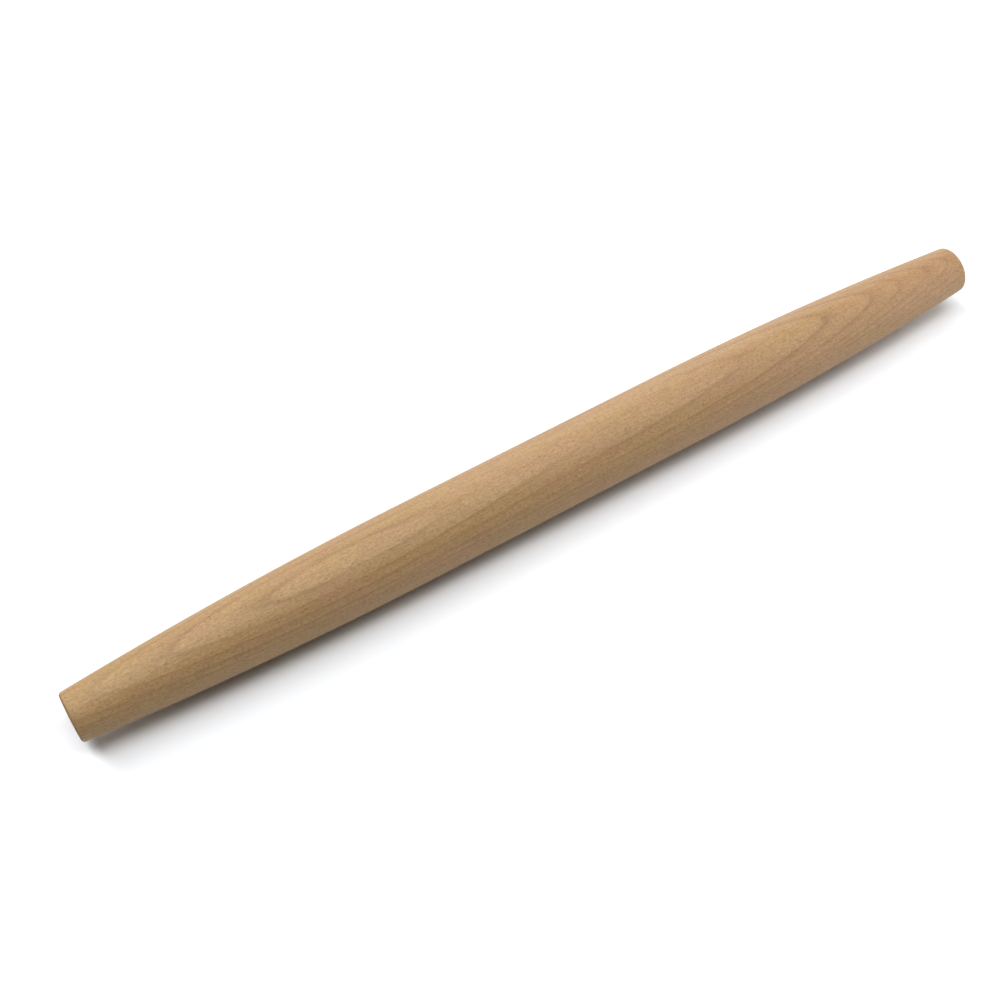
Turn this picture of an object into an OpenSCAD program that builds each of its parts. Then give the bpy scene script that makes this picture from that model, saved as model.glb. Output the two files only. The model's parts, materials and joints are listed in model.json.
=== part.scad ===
// French rolling pin: one length of solid beech, turned between centres.
// A straight barrel in the middle runs out into a long, slim taper at each end.
// It lies along X with its middle at the origin, so X is the axis that it rolls about.

/* [Pin] */
// Length over the two end faces
pin_length = 450; // [350:1:600]
// Length of the straight barrel between the tapers
barrel_length = 130; // [60:1:250]
// Diameter of the barrel
barrel_d = 35; // [28:0.5:60]

/* [Ends] */
// Diameter that each taper comes down to, at the end face's own plane
end_d = 22; // [15:0.5:26]
// Radius of the eased edge round each end face
edge_r = 1.5; // [0.5:0.1:5]

/* [Hidden] */

// Straight runs that an arc is drawn with, and facets round the pin
taper_steps = 32;
edge_steps = 8;
round_facets = 128;

// How far each taper runs along the axis, and how far it comes in
taper_run = (pin_length - barrel_length) / 2;
taper_drop = (barrel_d - end_d) / 2;

// The taper is one arc. It leaves the barrel with no kink, so its centre is square to the barrel's end.
taper_r = (taper_run ^ 2 + taper_drop ^ 2) / (2 * taper_drop);
taper_centre = [barrel_d / 2 - taper_r, barrel_length / 2];

// The eased edge is a small arc that nests inside the taper's, and meets it and the end face smoothly.
// edge_slope is the angle that the taper has turned through where the two arcs meet.
edge_slope = asin((taper_run - edge_r) / (taper_r - edge_r));
face_r = taper_centre.x + (taper_r - edge_r) * cos(edge_slope);
edge_centre = [face_r, pin_length / 2 - edge_r];

// Points along an arc, from one angle to another, with its start left out
function arc(centre, r, from, to, steps) =
    [for (i = [1:steps]) let (a = from + (to - from) * i / steps) centre + r * [cos(a), sin(a)]];

// Outline of one half as [radius, place along the axis], from the barrel's end to the rim of the end face
half_outline = concat(
    [[barrel_d / 2, barrel_length / 2]],
    arc(taper_centre, taper_r, 0, edge_slope, taper_steps),
    arc(edge_centre, edge_r, edge_slope, 90, edge_steps)
);
half_count = len(half_outline);

// The other half, mirrored and taken backwards so that the outline runs on from end to end
mirrored_outline = [for (i = [1:half_count]) let (p = half_outline[half_count - i]) [p.x, -p.y]];

// The whole pin: the outline closed along the axis, turned once round, and laid along X
module rolling_pin() {
    color("burlywood")
        rotate([0, 90, 0])
            rotate_extrude($fn = round_facets)
                polygon(concat(
                    [[0, -pin_length / 2]],
                    mirrored_outline,
                    half_outline,
                    [[0, pin_length / 2]]
                ));
}

rolling_pin();
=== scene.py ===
import json
import math

import bpy
import numpy as np
from mathutils import Matrix, Vector


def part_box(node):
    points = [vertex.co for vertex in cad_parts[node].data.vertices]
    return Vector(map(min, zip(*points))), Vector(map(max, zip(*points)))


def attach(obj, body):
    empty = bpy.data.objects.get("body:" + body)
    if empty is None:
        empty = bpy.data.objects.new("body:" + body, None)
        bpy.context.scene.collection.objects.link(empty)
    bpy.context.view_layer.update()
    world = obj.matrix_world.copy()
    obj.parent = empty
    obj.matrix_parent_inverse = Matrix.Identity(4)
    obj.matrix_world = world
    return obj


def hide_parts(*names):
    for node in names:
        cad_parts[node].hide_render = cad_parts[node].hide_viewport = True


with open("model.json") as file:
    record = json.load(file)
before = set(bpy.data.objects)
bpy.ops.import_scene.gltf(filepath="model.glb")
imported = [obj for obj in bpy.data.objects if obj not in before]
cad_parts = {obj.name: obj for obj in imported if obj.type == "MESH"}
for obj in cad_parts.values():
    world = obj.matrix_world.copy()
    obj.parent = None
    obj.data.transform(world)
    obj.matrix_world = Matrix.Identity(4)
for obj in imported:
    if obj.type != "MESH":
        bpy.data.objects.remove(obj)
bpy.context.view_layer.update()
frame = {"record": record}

MM = 0.001

# Driving sizes: the CAD node gives the length, and the record's barrel mount gives the straight stretch.
# The ends and their eased edges are as in the part's source.
PIN = "rolling_pin"
barrel = next(m["dims"] for m in frame["record"]["mounts"] if m["name"] == "barrel")
BARREL_R = barrel["r_mm"] * MM
BARREL_HALF = barrel["length_mm"] / 2 * MM
PIN_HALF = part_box(PIN)[1].x
END_R = 11 * MM
EDGE_R = 1.5 * MM

# How finely the turned surface is meshed
SEGMENTS = 192
BARREL_STEPS = 128
TAPER_STEPS = 156
EDGE_STEPS = 10
FACE_STEPS = 12


# The turned pin

def arc(centre, r, start, end, steps):
    """Points (x, radius) along an arc about centre, by the angle from the radial direction."""
    for angle in np.linspace(start, end, steps + 1)[1:]:
        yield centre[0] + r * math.sin(angle), centre[1] + r * math.cos(angle)


def half_outline():
    """The turned outline from the pin's middle to just short of its right end's centre, as (x, radius)."""
    run, drop = PIN_HALF - BARREL_HALF, BARREL_R - END_R
    taper_r = (run ** 2 + drop ** 2) / (2 * drop)
    taper_centre = (BARREL_HALF, BARREL_R - taper_r)
    slope = math.asin((run - EDGE_R) / (taper_r - EDGE_R))
    face_r = taper_centre[1] + (taper_r - EDGE_R) * math.cos(slope)
    outline = [(x, BARREL_R) for x in np.linspace(0, BARREL_HALF, BARREL_STEPS // 2 + 1)]
    outline += arc(taper_centre, taper_r, 0, slope, TAPER_STEPS)
    outline += arc((PIN_HALF - EDGE_R, face_r), EDGE_R, slope, math.pi / 2, EDGE_STEPS)
    outline += [(PIN_HALF, r) for r in np.linspace(face_r, 0, FACE_STEPS + 1)[1:-1]]
    return outline


def turned_mesh(name):
    """A closed mesh of the whole pin: rings round X from end to end, and a fan at each end's centre."""
    right = half_outline()
    outline = [(-x, r) for x, r in reversed(right[1:])] + right
    angles = np.arange(SEGMENTS) * 2 * math.pi / SEGMENTS
    rings = [[(x, r * math.sin(a), r * math.cos(a)) for a in angles] for x, r in outline]
    verts = [v for ring in rings for v in ring]
    left_centre, right_centre = len(verts), len(verts) + 1
    verts += [(-PIN_HALF, 0, 0), (PIN_HALF, 0, 0)]
    last = len(rings) - 1
    faces = []
    for j in range(SEGMENTS):
        k = (j + 1) % SEGMENTS
        faces += [
            (i * SEGMENTS + j, (i + 1) * SEGMENTS + j, (i + 1) * SEGMENTS + k, i * SEGMENTS + k)
            for i in range(last)
        ]
        faces.append((left_centre, j, k))
        faces.append((right_centre, last * SEGMENTS + k, last * SEGMENTS + j))
    mesh = bpy.data.meshes.new(name)
    mesh.from_pydata(verts, [], faces)
    mesh.validate()
    mesh.update()
    mesh.shade_smooth()
    return mesh


pin = bpy.data.objects.new("turned_pin", turned_mesh("turned_pin"))
bpy.context.scene.collection.objects.link(pin)


# Shader nodes

def feed(tree, socket, value):
    """Gives a shader socket a number or a colour, or links another node's socket to it."""
    if isinstance(value, bpy.types.NodeSocket):
        tree.links.new(value, socket)
    else:
        socket.default_value = value


def add(tree, kind, inputs=(), **settings):
    """Adds a shader node with its settings, and feeds its inputs, which are given by name or in order."""
    node = tree.nodes.new(kind)
    for name, value in settings.items():
        setattr(node, name, value)
    for key, value in inputs.items() if isinstance(inputs, dict) else enumerate(inputs):
        feed(tree, node.inputs[key], value)
    return node


# The beech, with every length in millimetres

# Where the pith lay under the pin's middle, and how far the grain rises towards the right end
PITH_Y = 2.2
PITH_Z = -24.9
RISE_PER_MM = 0.0168

# The growth rings: a year's width, where the count starts and the middle of the pin's rings as distances
# from the pith, and how far a slow run of lean and good years pulls them out of step
YEAR = 1.494
FIRST_RING = 32.81
MIDDLE_RING = 39.2
LEAN_YEARS = 0.45
LEAN_RUN = 10.5

# How dark the wood is through one year, from its early wood to its late wood
YEAR_SHADES = ((0.0, 0.45), (0.1, 0.0), (0.45, 0.14), (0.78, 0.42), (0.93, 1.0), (1.0, 0.85))

# How much of the rings is left in the faintest year, and where they fade for a stretch
FAINTEST_YEAR = 0.75
FAINTEST_STRETCH = 0.55

# On top of the barrel the rings run nearly flat to the surface and blur: how much of them is left there,
# and how far from the middle they start to clear and are clear, along the grain and across it
LEFT_IN_BLUR = 0.3
CLEARING_ALONG = (30, 95)
CLEARING_ACROSS = (4, 11)

# The rays: spacing along the grain, across it and outwards, the sizes of the smallest and the largest as
# shares of that, the share of the rays that stay the smallest, and where their soft edge starts and ends
RAY_SPACING = (2.1, 0.48, 9)
RAY_SIZES = (0.05, 0.42)
SMALL_RAYS = 0.15
RAY_EDGE = (-0.04, 0.18)

# How squarely a surface crosses the grain where end grain starts to show and where it shows fully
END_GRAIN_FACING = (0.35, 0.95)

# Its colours, and how much rosier it gets per millimetre towards the right end
PALE = (0.460, 0.313, 0.156, 1)
ROSY = (0.465, 0.302, 0.170, 1)
LATE_WOOD = (0.215, 0.118, 0.050, 1)
RAY_BROWN = (0.16, 0.085, 0.038, 1)
END_GRAIN_BROWN = (0.21, 0.117, 0.055, 1)
ROSIER_PER_MM = 0.0008

# Its finish: satin, duller on end grain and smoother on the rays, with a relief that is barely felt
SATIN = 0.5
END_GRAIN_DULLER = 0.15
RAYS_SMOOTHER = 0.1
GLOSS = 0.4
RELIEF = 0.05
RELIEF_STRENGTH = 0.5


def beech():
    """Plain-sawn beech as a solid: rings round a pith line below the pin, rays out from it, and fibre."""
    material = bpy.data.materials.new("beech")
    material.use_nodes = True
    tree = material.node_tree
    shader = tree.nodes["Principled BSDF"]

    def calc(operation, *inputs):
        return add(tree, "ShaderNodeMath", inputs, operation=operation).outputs[0]

    def point(x, y, z):
        return add(tree, "ShaderNodeCombineXYZ", (x, y, z)).outputs[0]

    def ease(value, low, high, out_low=0.0, out_high=1.0):
        """Takes low..high to out_low..out_high, smoothly and held at both ends."""
        inputs = {"Value": value, "From Min": low, "From Max": high, "To Min": out_low, "To Max": out_high}
        return add(tree, "ShaderNodeMapRange", inputs, interpolation_type="SMOOTHSTEP").outputs[0]

    def lay_over(colour, amount, other):
        """Lays another colour over this one by an amount."""
        node = add(tree, "ShaderNodeMix", data_type="RGBA")
        sockets = {socket.identifier: socket for socket in node.inputs}
        feed(tree, sockets["Factor_Float"], amount)
        feed(tree, sockets["A_Color"], colour)
        feed(tree, sockets["B_Color"], other)
        return next(socket for socket in node.outputs if socket.identifier == "Result_Color")

    # Place in the tree: along the grain, and across and above the pith
    coordinates = add(tree, "ShaderNodeTexCoord")
    scale = (1 / MM,) * 3
    place = add(tree, "ShaderNodeVectorMath", (coordinates.outputs["Object"], scale), operation="MULTIPLY")
    along, y, z = add(tree, "ShaderNodeSeparateXYZ", (place.outputs[0],)).outputs
    across = calc("SUBTRACT", y, PITH_Y)
    above = calc("SUBTRACT", calc("SUBTRACT", z, PITH_Z), calc("MULTIPLY", along, RISE_PER_MM))

    def fibre(length, width, detail=2.0, roughness=0.5):
        """Noise drawn out along the grain, with blotches of this length and width."""
        spot = point(
            calc("DIVIDE", along, length),
            calc("DIVIDE", across, width),
            calc("DIVIDE", above, width),
        )
        inputs = {"Vector": spot, "Scale": 1.0, "Detail": detail, "Roughness": roughness}
        return add(tree, "ShaderNodeTexNoise", inputs).outputs["Fac"]

    def marks(start, full, **noise):
        """Marks that show where the noise is above start, and fully where it is above full."""
        return ease(fibre(**noise), start, full)

    def wander(reach, **noise):
        """A push to either side, by up to half of reach."""
        return calc("MULTIPLY", calc("SUBTRACT", fibre(**noise), 0.5), reach)

    # How far out from the pith, with the wander of a real tree, and how far round it
    straight = calc("SQRT", calc("ADD", calc("MULTIPLY", across, across), calc("MULTIPLY", above, above)))
    slow_wander = wander(reach=0.6, length=60, width=14, detail=1)
    quick_wander = wander(reach=0.4, length=12, width=2.5)
    out = calc("ADD", straight, calc("ADD", slow_wander, quick_wander))
    around = calc("MULTIPLY", calc("ARCTAN2", across, above), MIDDLE_RING)

    # Rings: each year darkens towards its late wood and ends in a thin line, here stronger, there fainter
    run = calc("MULTIPLY", calc("SUBTRACT", out, MIDDLE_RING), 2 * math.pi / LEAN_RUN)
    pull = calc("MULTIPLY", calc("SINE", run), LEAN_YEARS)
    years = calc("DIVIDE", calc("SUBTRACT", calc("SUBTRACT", out, FIRST_RING), pull), YEAR)
    ramp = add(tree, "ShaderNodeValToRGB", (calc("FRACT", years),))
    stops = ramp.color_ramp.elements
    while len(stops) < len(YEAR_SHADES):
        stops.new(0.5)
    for stop, (share, shade) in zip(stops, YEAR_SHADES):
        stop.position = share
        stop.color = (shade, shade, shade, 1)
    year_luck = add(tree, "ShaderNodeTexWhiteNoise", {"W": calc("FLOOR", years)}, noise_dimensions="1D")
    strength = ease(year_luck.outputs["Value"], 0, 1, FAINTEST_YEAR, 1)
    fading = ease(fibre(length=45, width=7), 0.32, 0.6, FAINTEST_STRETCH, 1)
    clear_along = ease(calc("ABSOLUTE", along), *CLEARING_ALONG)
    clear_across = ease(calc("ABSOLUTE", across), *CLEARING_ACROSS)
    sharpness = ease(calc("MAXIMUM", clear_along, clear_across), 0, 1, LEFT_IN_BLUR, 1)
    boldness = calc("MULTIPLY", strength, calc("MULTIPLY", fading, sharpness))
    rings = calc("MULTIPLY", ramp.outputs[0], boldness)

    # Rays: thin plates on edge along the grain, cut to short dashes on top and to flecks at the sides
    ray_place = point(*(calc("DIVIDE", way, step) for way, step in zip((along, around, out), RAY_SPACING)))
    cells = add(tree, "ShaderNodeTexVoronoi", {"Vector": ray_place, "Scale": 1.0})
    ray_luck = add(tree, "ShaderNodeSeparateColor", (cells.outputs["Color"],)).outputs[0]
    ray_size = ease(ray_luck, SMALL_RAYS, 1, *RAY_SIZES)
    rays = ease(calc("SUBTRACT", ray_size, cells.outputs["Distance"]), *RAY_EDGE)

    # Fine streaks of fibre, a short speckle over them, and pores that are finer still
    streaks = marks(0.38, 0.72, length=16, width=0.55)
    speckle = marks(0.38, 0.66, length=1.5, width=0.5, detail=3, roughness=0.6)
    pores = marks(0.55, 0.72, length=2.4, width=0.15, roughness=0.6)

    # The hue drifts between pale and rosy
    rosiness = calc("ADD", fibre(length=38, width=9), calc("MULTIPLY", along, ROSIER_PER_MM))
    hue = ease(rosiness, 0.3, 0.7)

    # End grain drinks in more than the sides do
    facing = add(tree, "ShaderNodeSeparateXYZ", (coordinates.outputs["Normal"],)).outputs[0]
    end_grain = ease(calc("ABSOLUTE", facing), *END_GRAIN_FACING)

    colour = lay_over(PALE, hue, ROSY)
    for mark, amount, shade in (
        (rings, 0.42, LATE_WOOD),
        (streaks, 0.2, LATE_WOOD),
        (speckle, 0.36, LATE_WOOD),
        (pores, 0.22, RAY_BROWN),
        (rays, 0.4, RAY_BROWN),
        (end_grain, 0.45, END_GRAIN_BROWN),
    ):
        colour = lay_over(colour, calc("MULTIPLY", mark, amount), shade)
    feed(tree, shader.inputs["Base Color"], colour)

    dullness = calc("ADD", SATIN, calc("MULTIPLY", end_grain, END_GRAIN_DULLER))
    roughness = calc("SUBTRACT", dullness, calc("MULTIPLY", rays, RAYS_SMOOTHER))
    feed(tree, shader.inputs["Roughness"], roughness)
    feed(tree, shader.inputs["Specular IOR Level"], GLOSS)

    relief = {
        "Height": calc("SUBTRACT", speckle, calc("ADD", rays, pores)),
        "Strength": RELIEF_STRENGTH,
        "Distance": RELIEF * MM,
    }
    feed(tree, shader.inputs["Normal"], add(tree, "ShaderNodeBump", relief).outputs[0])
    return material


pin.data.materials.append(beech())
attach(pin, "root")
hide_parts(PIN)


# The floor

FLOOR_HALF = 3.0
COOL_WHITE = (0.88, 0.9, 0.925, 1)


def one_sided_white():
    """Matt and slightly cool from above, and clear from beneath so that the underside can be looked at."""
    material = bpy.data.materials.new("pale_floor")
    material.use_nodes = True
    tree = material.node_tree
    tree.nodes.remove(tree.nodes["Principled BSDF"])
    matt = add(tree, "ShaderNodeBsdfDiffuse", {"Color": COOL_WHITE}).outputs[0]
    clear = add(tree, "ShaderNodeBsdfTransparent").outputs[0]
    beneath = add(tree, "ShaderNodeNewGeometry").outputs["Backfacing"]
    mix = add(tree, "ShaderNodeMixShader", (beneath, matt, clear)).outputs[0]
    feed(tree, tree.nodes["Material Output"].inputs["Surface"], mix)
    return material


floor_mesh = bpy.data.meshes.new("floor")
corners = [(x * FLOOR_HALF, y * FLOOR_HALF, -BARREL_R) for x, y in ((-1, -1), (1, -1), (1, 1), (-1, 1))]
floor_mesh.from_pydata(corners, [], [(0, 1, 2, 3)])
floor = bpy.data.objects.new("floor", floor_mesh)
bpy.context.scene.collection.objects.link(floor)
floor_mesh.materials.append(one_sided_white())


# The studio light

# The large lamps, which stand far off: azimuth and elevation in degrees, and watts
LAMP_DISTANCE = 8.0
LAMP_SIZE = 4.0
LAMPS = (
    ("top_light", 0, 90, 275),
    ("high_right_light", 72, 62, 240),
    ("high_left_light", 216, 62, 264),
    ("back_light", 200, 40, 184),
    ("low_back_light", 155, 20, 235),
)

# A small one close by, which fills in the near side towards the right end
FILL_DISTANCE = 0.6
FILL_SIZE = 0.3
FILL = ("near_fill", 55, 15, 0.9)

# Below 1 it gives the picture a touch of contrast, as the photo has
VIEW_GAMMA = 0.85


def soft_light(name, azimuth, elevation, watts, distance, size):
    """A round soft lamp aimed at the pin's middle. Azimuth 0 is on the near side, 90 beyond the right end."""
    a, e = math.radians(azimuth), math.radians(elevation)
    out = Vector((math.sin(a) * math.cos(e), -math.cos(a) * math.cos(e), math.sin(e)))
    light = bpy.data.lights.new(name, "AREA")
    light.shape = "DISK"
    light.size = size
    light.energy = watts
    lamp = bpy.data.objects.new(name, light)
    lamp.location = out * distance
    lamp.rotation_euler = out.to_track_quat("Z", "Y").to_euler()
    bpy.context.scene.collection.objects.link(lamp)


for lamp_values in LAMPS:
    soft_light(*lamp_values, LAMP_DISTANCE, LAMP_SIZE)
soft_light(*FILL, FILL_DISTANCE, FILL_SIZE)

# The white wall behind is only seen: the lamps alone light the pin
world = bpy.data.worlds.new("studio")
bpy.context.scene.world = world
world.use_nodes = True
world.node_tree.nodes["Background"].inputs["Color"].default_value = (1, 1, 1, 1)
world.node_tree.nodes["Background"].inputs["Strength"].default_value = 1.0
world.cycles_visibility.diffuse = False
world.cycles_visibility.glossy = False

bpy.context.scene.view_settings.view_transform = "Standard"
bpy.context.scene.view_settings.gamma = VIEW_GAMMA


# The camera

# How far the camera looks down, and how far the pin's right end is turned away from it
LOOK_DOWN = math.radians(58.02)
TURN = math.radians(31.05)
# Where the pin's middle lies from the camera: to the right of its sight line, above it and in front
MIDDLE = Vector((21.96, 12.31, -660.77)) * MM
# In millimetres, as Blender takes them
LENS = 54.32
SENSOR_WIDTH = 36

camera_data = bpy.data.cameras.new("camera")
camera_data.sensor_width = SENSOR_WIDTH
camera_data.lens = LENS
camera = bpy.data.objects.new("camera", camera_data)
turned = Matrix.Rotation(-TURN, 3, "Z") @ Matrix.Rotation(math.pi / 2 - LOOK_DOWN, 3, "X")
camera.matrix_world = Matrix.Translation(-(turned @ MIDDLE)) @ turned.to_4x4()
bpy.context.scene.collection.objects.link(camera)
bpy.context.scene.camera = camera
